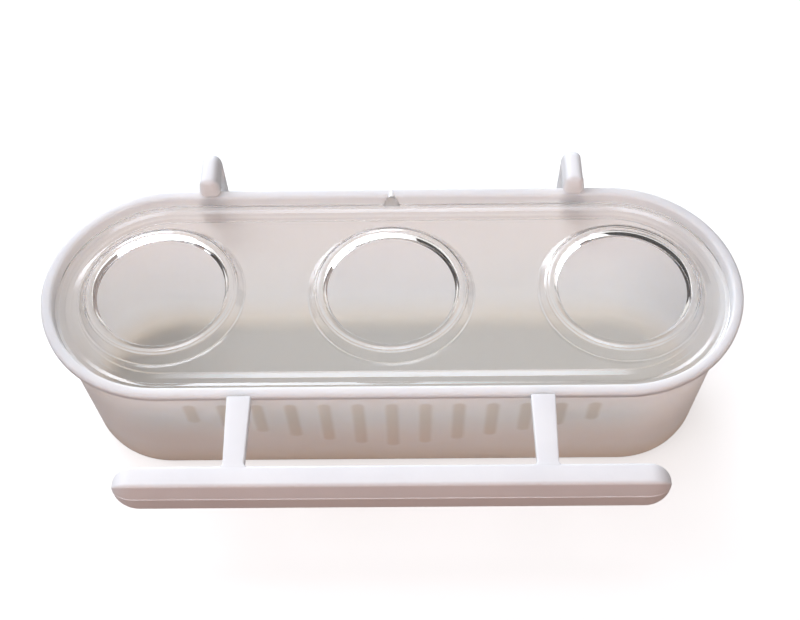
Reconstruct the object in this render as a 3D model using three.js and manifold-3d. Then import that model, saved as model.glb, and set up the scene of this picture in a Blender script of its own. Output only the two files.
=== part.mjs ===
// Cage seed feeder: a long translucent trough with half-round ends, a clear drop-in cover with
// three round feeding holes, a perch frame whose two arms plug into the front of the trough,
// and two hooks that snap into the back of its rim and hang over a cage wire.
// Millimetres, +Z up. The origin lies on the table under the middle of the trough. +X runs
// along the trough, and +Y points away from the perch, towards the cage wall.

import * as THREE from 'three';
import { mergeVertices } from 'three/addons/utils/BufferGeometryUtils.js';
import Module from 'manifold-3d';

const wasm = await Module();
wasm.setup();

// Clearances between pieces
const SIDE_GAP = 0.3;             // beside anything that is dropped in or plugged in
const SEAT_GAP = 0.1;             // under anything that rests on a flat seat

// Trough
const TROUGH_LENGTH = 200;        // over the rim
const TROUGH_WIDTH = 72;          // over the rim
const TROUGH_HEIGHT = 58;         // table to the top of the rim
const WALL = 1.5;
const FLOOR = 1.8;
const RIM_OVERHANG = 1.5;         // rim beyond the wall under it
const RIM_DROP = 2.2;             // height of the rim's outer edge
const RIM_ROUND = 0.5;
const LEDGE_WIDTH = 1.4;          // shelf that carries the cover, all round
const LEDGE_DEPTH = 4.9;          // rim top down to the shelf
const SIDE_LEAN = 7.5;            // degrees, front and back walls
const END_LEAN = 2.5;             // degrees, end walls
const BOTTOM_ROUND = 7;           // outer radius between walls and floor

// Ribs inside the front wall, which show through it as a fan of soft bars
const RIB_COUNT = 13;
const RIB_PITCH = 9.45;
const RIB_WIDTH = 3.4;
const RIB_RISE = 0.6;
const RIB_TOP_DEPTH = 11;         // rim top down to the ribs' upper ends
const RIB_MIDDLE_DEPTH = 42.5;    // rim top down to the foot of the middle rib
const RIB_OUTER_DEPTH = 23.3;     // the same at the outermost ribs
const RIB_FAN_POWER = 1.25;       // how the feet rise from the middle to the outermost rib

// Cover
const COVER_THICKNESS = 1.2;
const BEAD_WIDTH = 3;             // raised bead along the cover's edge
const BEAD_RISE = 0.5;
const FLANGE_WIDTH = 4.8;         // edge to the foot of the slope
const SLOPE_RUN = 1.5;            // slope from the flange up to the middle panel
const PANEL_RISE = 0.5;
const HOLE_COUNT = 3;
const HOLE_RADIUS = 18.2;         // at its narrow lower edge
const HOLE_END_MARGIN = 34;       // end of the rim to the middle of the outermost hole
const HOLE_FUNNEL = 1.4;          // how much wider a hole is at its top
const COLLAR_LAND = 1;            // flat ring round the top of a hole
const STEP_SLOPE = 1.05;          // width of each of the two sloped steps outside that ring
const STEP_LAND = 0.3;            // flat between the two
const STEP_RISE = 0.45;
const RING_LIFT = 2.1;            // how far a ring is raised above the panel
const RING_WALL = 1;
const RING_DRAFT = 1.1;           // how much wider a ring is at its foot
const TAB_WIDTH = 4.8;            // pull tab at the middle of the back edge
const TAB_TIP_WIDTH = 1.8;
const TAB_THICKNESS = 0.6;
const TAB_LAP = 2.2;              // how far the tab lies over the rim, from the rim's inner edge

// Perch frame
const PERCH_LENGTH = 147;
const PERCH_HEIGHT = 14;
const PERCH_DEPTH = 7.2;          // at the ridge along the middle of its faces
const PERCH_RIDGE = 0.6;          // how far that ridge stands out from the edges
const PERCH_CREST = 0.5;          // width of the ridge's top
const PERCH_ROUND = 1;
const PERCH_NOSE = 6.5;           // length of the bar's round ends
const PERCH_REACH = 20.3;         // rim to the back of the bar
const ARM_SPACING = 82;
const ARM_ROOT_WIDTH = 6.6;
const ARM_TIP_WIDTH = 5.7;
const ARM_THICKNESS = 3;
const ARM_FILLET = 0.5;           // where an arm runs into the bar
const PEG_WIDTH = 2.4;
const PEG_DEPTH = 2;
const PEG_LENGTH = 5;
const SOCKET_WALL = 0.9;
const SOCKET_HEIGHT = 6;

// Hooks
const HOOK_SPACING = 109;
const HOOK_WIDTH = 5.6;
const HOOK_EDGE_ROUND = 0.8;
const HOOK_RISE = 6.5;            // rim top to the top of the hook
const HOOK_GAP = 5.6;             // room for the cage wire, keeper to leg
const HOOK_BRIDGE = 5.2;            // thickness of the part that spans the wire
const HOOK_LEG = 3;               // thickness of the free leg
const HOOK_DROP = 16;             // rim top down to the tip of the free leg
const HOOK_BACK_ROUND = 4.5;
const HOOK_FRONT_ROUND = 1.5;
const HOOK_INNER_ROUND = 1;
const STEM_WIDTH = 4.4;           // snap stem that goes down through the rim
const STEM_THICKNESS = 1.6;
const BARB_RISE = 0.7;
const BARB_HEIGHT = 2.2;
const KEEPER_HEIGHT = 9;          // sleeve under the rim that holds the stem
const KEEPER_WALL = 1.3;
const KEEPER_TOP_DROP = 2.8;      // rim top down to the sleeve's back edge

// Facets of round stretches
const END_STEPS = 26;
const ROUND_STEPS = 4;
const HOLE_STEPS = 52;
const NOSE_STEPS = 7;
const NOSE_LAST_ANGLE = THREE.MathUtils.degToRad(80);

const RIGHT_ANGLE = Math.PI / 2;

// Levels and outlines that follow from the sizes above
const ledgeZ = TROUGH_HEIGHT - LEDGE_DEPTH;
const shoulderZ = ledgeZ - WALL;
const rimUnderZ = TROUGH_HEIGHT - RIM_DROP;
const rimOutline = { halfLength: TROUGH_LENGTH / 2, halfWidth: TROUGH_WIDTH / 2 };
const bandOutline = inset(rimOutline, RIM_OVERHANG);
const recessOutline = inset(bandOutline, WALL);
const bodyTopOutline = inset(bandOutline, LEDGE_WIDTH);
const coverOutline = inset(recessOutline, SIDE_GAP);
const coverSeatZ = ledgeZ + SEAT_GAP;
const flangeTopZ = coverSeatZ + COVER_THICKNESS;
const panelUnderZ = coverSeatZ + PANEL_RISE;
const panelTopZ = panelUnderZ + COVER_THICKNESS;
const holePitch = (TROUGH_LENGTH - 2 * HOLE_END_MARGIN) / (HOLE_COUNT - 1);
const ringUnderZ = panelUnderZ + RING_LIFT;
const ringFootZ = panelTopZ + RING_LIFT;
const ringTopZ = ringFootZ + 2 * STEP_RISE;
const ringRadius = HOLE_RADIUS + HOLE_FUNNEL + COLLAR_LAND + 2 * STEP_SLOPE + STEP_LAND;
const armRootY = -(rimOutline.halfWidth + SIDE_GAP);
const perchBackY = -(rimOutline.halfWidth + PERCH_REACH);
const armUnderZ = TROUGH_HEIGHT - ARM_THICKNESS;
const socketTopZ = armUnderZ - SEAT_GAP;
const pegBackY = armRootY - SOCKET_WALL;
const stemFrontY = bandOutline.halfWidth + SIDE_GAP + SEAT_GAP;
const keeperBackY = stemFrontY + STEM_THICKNESS + SIDE_GAP + KEEPER_WALL;
const keeperUnderZ = TROUGH_HEIGHT - KEEPER_HEIGHT;
const hookFootZ = TROUGH_HEIGHT + SEAT_GAP;
const hookTopZ = TROUGH_HEIGHT + HOOK_RISE;
const hookBackY = keeperBackY + HOOK_GAP + HOOK_LEG;

// Outlines and points

function inset(outline, distance) {
  return { halfLength: outline.halfLength - distance, halfWidth: outline.halfWidth - distance };
}

function ring(outline, z) {
  return { ...outline, z };
}

// Points of a stadium, counter-clockwise seen from above: straight sides and half-round ends.
function stadiumPoints({ halfLength, halfWidth }) {
  const centre = halfLength - halfWidth;
  const points = [];
  for (const end of [1, -1]) {
    const facing = end > 0 ? 0 : Math.PI;
    for (let i = 0; i <= END_STEPS; i += 1) {
      const angle = facing + RIGHT_ANGLE * ((2 * i) / END_STEPS - 1);
      const x = end * centre + halfWidth * Math.cos(angle);
      points.push(new THREE.Vector2(x, halfWidth * Math.sin(angle)));
    }
  }
  return points;
}

// Rings of a quarter round that starts flat at startZ and ends upright, radius above it.
function bottomRoundRings(outlineAt, startZ, radius) {
  const sprung = outlineAt(startZ + radius);
  const rings = [];
  for (let i = 0; i <= ROUND_STEPS; i += 1) {
    const angle = (RIGHT_ANGLE * i) / ROUND_STEPS;
    const outline = inset(sprung, radius * (1 - Math.sin(angle)));
    rings.push(ring(outline, startZ + radius * (1 - Math.cos(angle))));
  }
  return rings;
}

// Rings of a quarter round that starts upright below topZ and ends flat at it. It draws in by
// the radius, or spreads out by it where inward is -1.
function topRoundRings(outline, topZ, radius, inward = 1) {
  const rings = [];
  for (let i = 0; i <= ROUND_STEPS; i += 1) {
    const angle = (RIGHT_ANGLE * i) / ROUND_STEPS;
    const drawnIn = inset(outline, inward * radius * (1 - Math.cos(angle)));
    rings.push(ring(drawnIn, topZ - radius * (1 - Math.sin(angle))));
  }
  return rings;
}

// Geometry

// One closed body through a stack of point rows of one length, from the point that closes the
// first row to the one that closes the last. Seen from that last point, each row runs
// counter-clockwise.
function skin(rows, firstPoint, lastPoint) {
  const points = [...rows.flat(), firstPoint, lastPoint];
  const indices = [];
  const count = rows[0].length;
  const lastRing = (rows.length - 1) * count;
  const lowCentre = points.length - 2;
  const highCentre = points.length - 1;
  for (let i = 0; i < count; i += 1) {
    const next = (i + 1) % count;
    indices.push(lowCentre, next, i, highCentre, lastRing + i, lastRing + next);
    for (let start = 0; start < lastRing; start += count) {
      indices.push(start + i, start + next, start + count + next);
      indices.push(start + i, start + count + next, start + count + i);
    }
  }
  const geometry = new THREE.BufferGeometry().setFromPoints(points);
  geometry.setIndex(indices);
  return geometry;
}

// One closed body through a stack of stadium rings, flat below and on top.
function loft(rings) {
  const rows = rings.map((level) => (
    stadiumPoints(level).map(({ x, y }) => new THREE.Vector3(x, y, level.z))
  ));
  const top = rings[rings.length - 1].z;
  return skin(rows, new THREE.Vector3(0, 0, rings[0].z), new THREE.Vector3(0, 0, top));
}

function box(lowCorner, highCorner) {
  const low = new THREE.Vector3(...lowCorner);
  const high = new THREE.Vector3(...highCorner);
  const size = high.clone().sub(low);
  const middle = high.clone().add(low).multiplyScalar(0.5);
  return new THREE.BoxGeometry(size.x, size.y, size.z).translate(middle.x, middle.y, middle.z);
}

// A plan shape in X and Y, raised from lowZ to highZ.
function prism(shape, lowZ, highZ) {
  const options = { depth: highZ - lowZ, bevelEnabled: false, curveSegments: ROUND_STEPS };
  return new THREE.ExtrudeGeometry(shape, options).translate(0, 0, lowZ);
}

// A front-view shape in X and Z, carried forward from y = 0 by the given depth.
function frontPrism(shape, depth) {
  const options = { depth, bevelEnabled: false, curveSegments: ROUND_STEPS };
  return new THREE.ExtrudeGeometry(shape, options).rotateX(RIGHT_ANGLE);
}

// A side-view shape in Y and Z, given a width along X about x = 0 and rounded side edges.
function sidePrism(shape, width, edgeRound) {
  const options = {
    depth: width - 2 * edgeRound,
    bevelEnabled: edgeRound > 0,
    bevelSize: edgeRound,
    bevelOffset: -edgeRound,
    bevelThickness: edgeRound,
    bevelSegments: 2,
    curveSegments: ROUND_STEPS,
  };
  const turn = new THREE.Matrix4().makeBasis(
    new THREE.Vector3(0, 1, 0),
    new THREE.Vector3(0, 0, 1),
    new THREE.Vector3(1, 0, 0),
  );
  const geometry = new THREE.ExtrudeGeometry(shape, options).applyMatrix4(turn);
  return geometry.translate(edgeRound - width / 2, 0, 0);
}

// Solids, which can be joined and cut

function solid(geometry) {
  const bare = new THREE.BufferGeometry();
  bare.setAttribute('position', geometry.getAttribute('position'));
  if (geometry.index) bare.setIndex(geometry.index);
  const merged = mergeVertices(bare, 1e-4);
  const vertProperties = new Float32Array(merged.getAttribute('position').array);
  const triVerts = new Uint32Array(merged.index.array);
  return new wasm.Manifold(new wasm.Mesh({ numProp: 3, vertProperties, triVerts }));
}

function geometryOf(body) {
  const mesh = body.getMesh();
  const geometry = new THREE.BufferGeometry();
  geometry.setAttribute('position', new THREE.Float32BufferAttribute(mesh.vertProperties, 3));
  geometry.setIndex(new THREE.Uint32BufferAttribute(mesh.triVerts, 1));
  return geometry;
}

// Trough

function bodyOutlineAt(z) {
  const drop = shoulderZ - z;
  return {
    halfLength: bodyTopOutline.halfLength - drop * Math.tan(THREE.MathUtils.degToRad(END_LEAN)),
    halfWidth: bodyTopOutline.halfWidth - drop * Math.tan(THREE.MathUtils.degToRad(SIDE_LEAN)),
  };
}

function troughOuter() {
  return solid(loft([
    ...bottomRoundRings(bodyOutlineAt, 0, BOTTOM_ROUND),
    ring(bodyTopOutline, shoulderZ),
    ring(bandOutline, shoulderZ + LEDGE_WIDTH),
    ring(bandOutline, rimUnderZ),
    ring(rimOutline, rimUnderZ),
    ...topRoundRings(rimOutline, TROUGH_HEIGHT, RIM_ROUND),
  ]));
}

// The room inside the trough up to the ledge, drawn in from the inner faces by the distance.
function lowerRoom(distance) {
  const outlineAt = (z) => inset(bodyOutlineAt(z), WALL + distance);
  const rings = bottomRoundRings(outlineAt, FLOOR + distance, BOTTOM_ROUND - WALL);
  return [...rings, ring(inset(bodyTopOutline, WALL + distance), ledgeZ)];
}

function troughRoom() {
  return solid(loft([
    ...lowerRoom(0),
    ring(recessOutline, ledgeZ),
    ...topRoundRings(recessOutline, TROUGH_HEIGHT, RIM_ROUND, -1),
    ring(inset(recessOutline, -RIM_ROUND), TROUGH_HEIGHT + RIM_ROUND),
  ]));
}

// Round-ended bars in front view, whose feet rise from the middle bar outwards.
function ribBars() {
  const outermost = (RIB_COUNT - 1) / 2;
  const topZ = TROUGH_HEIGHT - RIB_TOP_DEPTH;
  const end = RIB_WIDTH / 2;
  const bars = [];
  for (let i = 0; i < RIB_COUNT; i += 1) {
    const fromMiddle = Math.abs(i - outermost) / outermost;
    const lift = (RIB_MIDDLE_DEPTH - RIB_OUTER_DEPTH) * fromMiddle ** RIB_FAN_POWER;
    const footZ = TROUGH_HEIGHT - RIB_MIDDLE_DEPTH + lift;
    const x = (i - outermost) * RIB_PITCH;
    const bar = new THREE.Shape();
    bar.absarc(x, footZ + end, end, Math.PI, 2 * Math.PI);
    bar.absarc(x, topZ - end, end, 0, Math.PI);
    bars.push(solid(frontPrism(bar, rimOutline.halfWidth)));
  }
  return wasm.Manifold.union(bars);
}

// Ribs proud of the inner face of the front wall, rooted halfway into it.
function frontRibs() {
  const lining = solid(loft(lowerRoom(-WALL / 2))).subtract(solid(loft(lowerRoom(RIB_RISE))));
  return lining.intersect(ribBars());
}

// Sleeve on the front wall for the peg of one arm, open below so that it drains.
function pegSocket(x) {
  const halfWidth = PEG_WIDTH / 2 + SIDE_GAP + SOCKET_WALL;
  const frontY = pegBackY - PEG_DEPTH - SIDE_GAP - SOCKET_WALL;
  const lowZ = socketTopZ - SOCKET_HEIGHT;
  const side = new THREE.Shape();
  side.moveTo(-bodyOutlineAt(lowZ).halfWidth + WALL / 2, lowZ);
  side.lineTo(-recessOutline.halfWidth, lowZ);
  side.lineTo(frontY, lowZ + SOCKET_WALL);
  side.lineTo(frontY, socketTopZ);
  side.lineTo(-recessOutline.halfWidth, socketTopZ);
  side.closePath();
  return solid(sidePrism(side, 2 * halfWidth, 0).translate(x, 0, 0));
}

function pegHole(x) {
  const low = [x - PEG_WIDTH / 2 - SIDE_GAP, pegBackY - PEG_DEPTH - SIDE_GAP, 0];
  const high = [x + PEG_WIDTH / 2 + SIDE_GAP, pegBackY + SIDE_GAP, TROUGH_HEIGHT];
  return solid(box(low, high));
}

// Sleeve behind the rim for the stem of one hook. Its top slopes down from inside the rim.
function stemKeeper(x) {
  const halfWidth = STEM_WIDTH / 2 + SIDE_GAP + KEEPER_WALL;
  const rootY = bandOutline.halfWidth - WALL / 2;
  const insideRimZ = TROUGH_HEIGHT - RIM_DROP + RIM_ROUND;
  const side = new THREE.Shape();
  side.moveTo(rootY, keeperUnderZ);
  side.lineTo(keeperBackY, keeperUnderZ);
  side.lineTo(keeperBackY, TROUGH_HEIGHT - KEEPER_TOP_DROP);
  side.lineTo(rimOutline.halfWidth - RIM_ROUND, insideRimZ);
  side.lineTo(rootY, insideRimZ);
  side.closePath();
  return solid(sidePrism(side, 2 * halfWidth, 0).translate(x, 0, 0));
}

function stemHole(x) {
  const halfWidth = STEM_WIDTH / 2 + SIDE_GAP;
  const low = [x - halfWidth, stemFrontY - SIDE_GAP, 0];
  const high = [x + halfWidth, stemFrontY + STEM_THICKNESS + SIDE_GAP, TROUGH_HEIGHT + RIM_ROUND];
  return solid(box(low, high));
}

function trough() {
  let body = troughOuter();
  for (const side of [-1, 1]) {
    body = body.add(pegSocket((side * ARM_SPACING) / 2));
    body = body.add(stemKeeper((side * HOOK_SPACING) / 2));
  }
  body = body.subtract(troughRoom());
  for (const side of [-1, 1]) {
    body = body.subtract(pegHole((side * ARM_SPACING) / 2));
    body = body.subtract(stemHole((side * HOOK_SPACING) / 2));
  }
  return body.add(frontRibs());
}

// Cover

function coverPlate() {
  const slopeFoot = inset(coverOutline, FLANGE_WIDTH);
  const panel = inset(slopeFoot, SLOPE_RUN);
  const beadTopZ = flangeTopZ + BEAD_RISE;
  return solid(loft([
    ring(panel, panelUnderZ),
    ring(slopeFoot, coverSeatZ),
    ring(coverOutline, coverSeatZ),
    ...topRoundRings(coverOutline, beadTopZ, BEAD_RISE / 2),
    ring(inset(coverOutline, BEAD_WIDTH - BEAD_RISE / 2), beadTopZ),
    ring(inset(coverOutline, BEAD_WIDTH), flangeTopZ),
    ring(slopeFoot, flangeTopZ),
    ring(panel, panelTopZ),
  ]));
}

// Raised ring round a hole: a wall, two sloped steps up to a flat, and a funnel down into the hole.
function collar(x) {
  const upperStep = HOLE_RADIUS + HOLE_FUNNEL + COLLAR_LAND;
  const lowerStep = ringRadius - STEP_SLOPE;
  const section = [
    [HOLE_RADIUS, ringUnderZ],
    [ringRadius - RING_WALL, ringUnderZ],
    [ringRadius - RING_WALL + RING_DRAFT, panelUnderZ],
    [ringRadius + RING_DRAFT, panelUnderZ],
    [ringRadius + RING_DRAFT, panelTopZ],
    [ringRadius, ringFootZ],
    [lowerStep, ringFootZ + STEP_RISE],
    [lowerStep - STEP_LAND, ringFootZ + STEP_RISE],
    [upperStep, ringTopZ],
    [HOLE_RADIUS + HOLE_FUNNEL, ringTopZ],
    [HOLE_RADIUS, ringUnderZ],
  ];
  const points = section.map(([radius, z]) => new THREE.Vector2(radius, z));
  return solid(new THREE.LatheGeometry(points, HOLE_STEPS).rotateX(RIGHT_ANGLE).translate(x, 0, 0));
}

function holeCut(x) {
  const radius = ringRadius + RING_DRAFT / 2;
  const cut = new THREE.CylinderGeometry(radius, radius, TROUGH_HEIGHT, HOLE_STEPS);
  return solid(cut.rotateX(RIGHT_ANGLE).translate(x, 0, panelTopZ));
}

// Clear tab that rises along the rim's inner face and laps over its top, for a fingertip.
function pullTab() {
  const lapZ = TROUGH_HEIGHT + SIDE_GAP;
  const rootY = coverOutline.halfWidth - BEAD_WIDTH;
  const tipY = recessOutline.halfWidth + TAB_LAP;
  const riserTop = lapZ + TAB_THICKNESS;
  const low = [-TAB_WIDTH / 2, rootY, flangeTopZ];
  const riser = box(low, [TAB_WIDTH / 2, coverOutline.halfWidth, riserTop]);
  const tip = TAB_TIP_WIDTH / 2;
  const lap = new THREE.Shape();
  lap.moveTo(-TAB_WIDTH / 2, rootY);
  lap.lineTo(TAB_WIDTH / 2, rootY);
  lap.quadraticCurveTo(tip, recessOutline.halfWidth, tip, tipY - tip);
  lap.absarc(0, tipY - tip, tip, 0, Math.PI);
  lap.quadraticCurveTo(-tip, recessOutline.halfWidth, -TAB_WIDTH / 2, rootY);
  return solid(riser).add(solid(prism(lap, lapZ, riserTop)));
}

function cover() {
  let body = coverPlate().add(pullTab());
  for (let i = 0; i < HOLE_COUNT; i += 1) {
    const x = (i - (HOLE_COUNT - 1) / 2) * holePitch;
    body = body.subtract(holeCut(x)).add(collar(x));
  }
  return body;
}

// Perch frame

// Section of the bar in Y and Z about its middle, counter-clockwise seen from +X. Front and
// back rise to a low ridge halfway up, where the halves of the mould met.
function perchSection() {
  const cornerY = PERCH_DEPTH / 2 - PERCH_RIDGE - PERCH_ROUND;
  const cornerZ = PERCH_HEIGHT / 2 - PERCH_ROUND;
  const crest = PERCH_CREST / 2;
  const section = [];
  for (const [quarter, sideY, sideZ] of [[0, 1, 1], [1, -1, 1], [2, -1, -1], [3, 1, -1]]) {
    const corner = [];
    for (let i = 0; i <= ROUND_STEPS; i += 1) {
      const angle = RIGHT_ANGLE * (quarter + i / ROUND_STEPS);
      const y = sideY * cornerY + PERCH_ROUND * Math.cos(angle);
      corner.push(new THREE.Vector2(y, sideZ * cornerZ + PERCH_ROUND * Math.sin(angle)));
    }
    const crestPoint = new THREE.Vector2((sideY * PERCH_DEPTH) / 2, sideZ * crest);
    section.push(...(sideY === sideZ ? [crestPoint, ...corner] : [...corner, crestPoint]));
  }
  return section;
}

// The bar runs along X and keeps its section up to its noses, which shrink it to a point.
function perchBar() {
  const section = perchSection();
  const halfLength = PERCH_LENGTH / 2;
  const stations = [];
  for (let i = NOSE_STEPS; i >= 0; i -= 1) {
    const angle = (NOSE_LAST_ANGLE * i) / NOSE_STEPS;
    stations.push({ x: -halfLength + PERCH_NOSE * (1 - Math.sin(angle)), scale: Math.cos(angle) });
  }
  stations.push(...stations.map(({ x, scale }) => ({ x: -x, scale })).reverse());
  const rows = stations.map(({ x, scale }) => (
    section.map((point) => new THREE.Vector3(x, scale * point.x, scale * point.y))
  ));
  const bar = skin(rows, new THREE.Vector3(-halfLength, 0, 0), new THREE.Vector3(halfLength, 0, 0));
  bar.translate(0, perchBackY - PERCH_DEPTH / 2, TROUGH_HEIGHT - PERCH_HEIGHT / 2);
  return solid(bar);
}

// One arm in plan, flush with the rim's top, narrowing towards the bar and running into it.
function arm(x) {
  const root = ARM_ROOT_WIDTH / 2;
  const tip = ARM_TIP_WIDTH / 2;
  const insideBarY = perchBackY - PERCH_DEPTH / 2;
  const plan = new THREE.Shape();
  plan.moveTo(x - root, armRootY);
  plan.lineTo(x - tip, perchBackY + ARM_FILLET);
  plan.quadraticCurveTo(x - tip, perchBackY - PERCH_RIDGE, x - tip - ARM_FILLET, insideBarY);
  plan.lineTo(x + tip + ARM_FILLET, insideBarY);
  plan.quadraticCurveTo(x + tip, perchBackY - PERCH_RIDGE, x + tip, perchBackY + ARM_FILLET);
  plan.lineTo(x + root, armRootY);
  plan.closePath();
  return solid(prism(plan, armUnderZ, TROUGH_HEIGHT));
}

function peg(x) {
  const low = [x - PEG_WIDTH / 2, pegBackY - PEG_DEPTH, armUnderZ - PEG_LENGTH];
  const high = [x + PEG_WIDTH / 2, pegBackY, armUnderZ + ARM_THICKNESS / 2];
  return solid(box(low, high));
}

function perchFrame() {
  let body = perchBar();
  for (const side of [-1, 1]) {
    const x = (side * ARM_SPACING) / 2;
    body = body.add(arm(x)).add(peg(x));
  }
  return body;
}

// Hooks

function hookBend() {
  const frontY = recessOutline.halfWidth + RIM_ROUND;
  const footBackY = stemFrontY + STEM_THICKNESS + SIDE_GAP;
  const innerTopZ = hookTopZ - HOOK_BRIDGE;
  const innerRoundZ = innerTopZ - HOOK_INNER_ROUND;
  const frontRoundY = frontY + HOOK_FRONT_ROUND;
  const backRoundY = hookBackY - HOOK_BACK_ROUND;
  const legFrontY = hookBackY - HOOK_LEG;
  const tip = HOOK_LEG / 2;
  const tipZ = TROUGH_HEIGHT - HOOK_DROP + tip;
  const side = new THREE.Shape();
  side.moveTo(frontY, hookFootZ);
  side.lineTo(footBackY, hookFootZ);
  side.absarc(footBackY + HOOK_INNER_ROUND, innerRoundZ, HOOK_INNER_ROUND, Math.PI, RIGHT_ANGLE, true);
  side.absarc(legFrontY - HOOK_INNER_ROUND, innerRoundZ, HOOK_INNER_ROUND, RIGHT_ANGLE, 0, true);
  side.lineTo(legFrontY, tipZ);
  side.absarc(legFrontY + tip, tipZ, tip, Math.PI, 2 * Math.PI);
  side.absarc(backRoundY, hookTopZ - HOOK_BACK_ROUND, HOOK_BACK_ROUND, 0, RIGHT_ANGLE);
  side.absarc(frontRoundY, hookTopZ - HOOK_FRONT_ROUND, HOOK_FRONT_ROUND, RIGHT_ANGLE, Math.PI);
  side.closePath();
  return solid(sidePrism(side, HOOK_WIDTH, HOOK_EDGE_ROUND));
}

// Flat stem that goes down through the rim, with a barb that catches under the sleeve.
function hookStem() {
  const barbTopZ = keeperUnderZ - SIDE_GAP;
  const backY = stemFrontY + STEM_THICKNESS;
  const side = new THREE.Shape();
  side.moveTo(stemFrontY, hookFootZ + HOOK_BRIDGE / 2);
  side.lineTo(stemFrontY, barbTopZ - BARB_HEIGHT);
  side.lineTo(backY - BARB_RISE, barbTopZ - BARB_HEIGHT);
  side.lineTo(backY + BARB_RISE, barbTopZ);
  side.lineTo(backY, barbTopZ);
  side.lineTo(backY, hookFootZ + HOOK_BRIDGE / 2);
  side.closePath();
  return solid(sidePrism(side, STEM_WIDTH, 0));
}

function hook() {
  return hookBend().add(hookStem());
}

// Scene graph

const whitePlastic = { color: 0xf1f2f4, roughness: 0.38, metalness: 0 };
const milkyPlastic = { color: 0xded9d5, roughness: 0.42, metalness: 0, transparent: true, opacity: 0.9 };
const clearPlastic = { color: 0xf6f7f8, roughness: 0.06, metalness: 0, transparent: true, opacity: 0.3 };

function piece(name, body, finish) {
  const mesh = new THREE.Mesh(geometryOf(body), new THREE.MeshStandardMaterial(finish));
  mesh.name = name;
  return mesh;
}

const feeder = new THREE.Group();
feeder.add(piece('trough', trough(), milkyPlastic));
feeder.add(piece('cover', cover(), clearPlastic));
feeder.add(piece('perch_frame', perchFrame(), whitePlastic));
for (const [side, name] of [[-1, 'hook_left'], [1, 'hook_right']]) {
  const mesh = piece(name, hook(), whitePlastic);
  mesh.position.x = (side * HOOK_SPACING) / 2;
  feeder.add(mesh);
}

export default feeder;
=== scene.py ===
"""Cage seed feeder, dressed for the camera: a milky trough with half-round ends, a clear cover with
three feeding holes, a perch on two arms and two hooks for the cage wire.

Lengths are in millimetres until a mesh is made, and the stage's are in metres. +Z is up, +X runs
along the trough, and +Y points away from the perch, towards the cage wall.
"""

import math

import bmesh
import bpy
from mathutils import Matrix, Vector
from mathutils.geometry import tessellate_polygon


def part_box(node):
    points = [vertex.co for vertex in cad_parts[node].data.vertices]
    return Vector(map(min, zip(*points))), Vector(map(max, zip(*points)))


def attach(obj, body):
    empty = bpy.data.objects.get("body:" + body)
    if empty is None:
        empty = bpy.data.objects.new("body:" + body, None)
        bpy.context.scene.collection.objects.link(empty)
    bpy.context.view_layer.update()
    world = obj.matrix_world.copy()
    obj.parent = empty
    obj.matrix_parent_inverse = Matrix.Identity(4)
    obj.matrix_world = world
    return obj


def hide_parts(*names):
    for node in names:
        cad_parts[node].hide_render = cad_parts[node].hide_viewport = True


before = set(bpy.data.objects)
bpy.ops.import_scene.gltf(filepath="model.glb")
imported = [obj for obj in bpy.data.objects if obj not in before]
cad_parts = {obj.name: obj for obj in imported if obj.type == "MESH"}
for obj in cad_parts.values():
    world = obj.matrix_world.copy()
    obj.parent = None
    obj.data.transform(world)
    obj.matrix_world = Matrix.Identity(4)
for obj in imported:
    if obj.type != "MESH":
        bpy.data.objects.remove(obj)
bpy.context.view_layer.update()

MM = 0.001

# How meshes and roundings are made
WELD_DISTANCE = 0.002
SHARP_ANGLE = math.radians(38)
SLEEVE_SHARP_ANGLE = math.radians(30)
ROUND_REACH = 0.48


def node_box(node):
    """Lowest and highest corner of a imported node, in millimetres."""
    low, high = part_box(node)
    return low / MM, high / MM


TROUGH_HIGH = node_box("trough")[1]
COVER_LOW, COVER_HIGH = node_box("cover")
PERCH_LOW, PERCH_HIGH = node_box("perch_frame")
HOOK_LOW, HOOK_HIGH = node_box("hook_right")

# Trough
RIM_HALF_LENGTH = TROUGH_HIGH.x
RIM_HALF_WIDTH = 36.0
RIM_TOP = TROUGH_HIGH.z
WALL = 1.5
FLOOR = 1.8
RIM_OVERHANG = 1.5
RIM_DROP = 2.2
RIM_ROUND = 0.8
LEDGE_WIDTH = 1.4
LEDGE_DEPTH = 4.9
SIDE_LEAN = math.radians(7.5)
END_LEAN = math.radians(2.5)
BOTTOM_ROUND = 7.0
BOTTOM_FLAT = 3.0
SMALL_ROUND = 0.3
RIM_FOOT_ROUND = 0.12
TROUGH_END_STEPS = 56

# Ribs on the inside of the front wall
RIB_COUNT = 13
RIB_PITCH = 9.45
RIB_HALF_WIDTH = 1.7
RIB_EDGE = 0.5
RIB_RISE = 0.6
RIB_TOP_DEPTH = 11.0
RIB_MIDDLE_DEPTH = 42.5
RIB_OUTER_DEPTH = 23.3
RIB_FAN_POWER = 1.25
RIB_ROW = 0.5
RIB_ROW_MARGIN = 2.0
RIB_COLUMNS = (0, 0.5, 0.7, 0.8, 0.9, 1, 1.15, 1.3, 1.47)
RIB_SHADE_REACH = 2.5
RIB_SHADE_EDGE = 1.5

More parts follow.
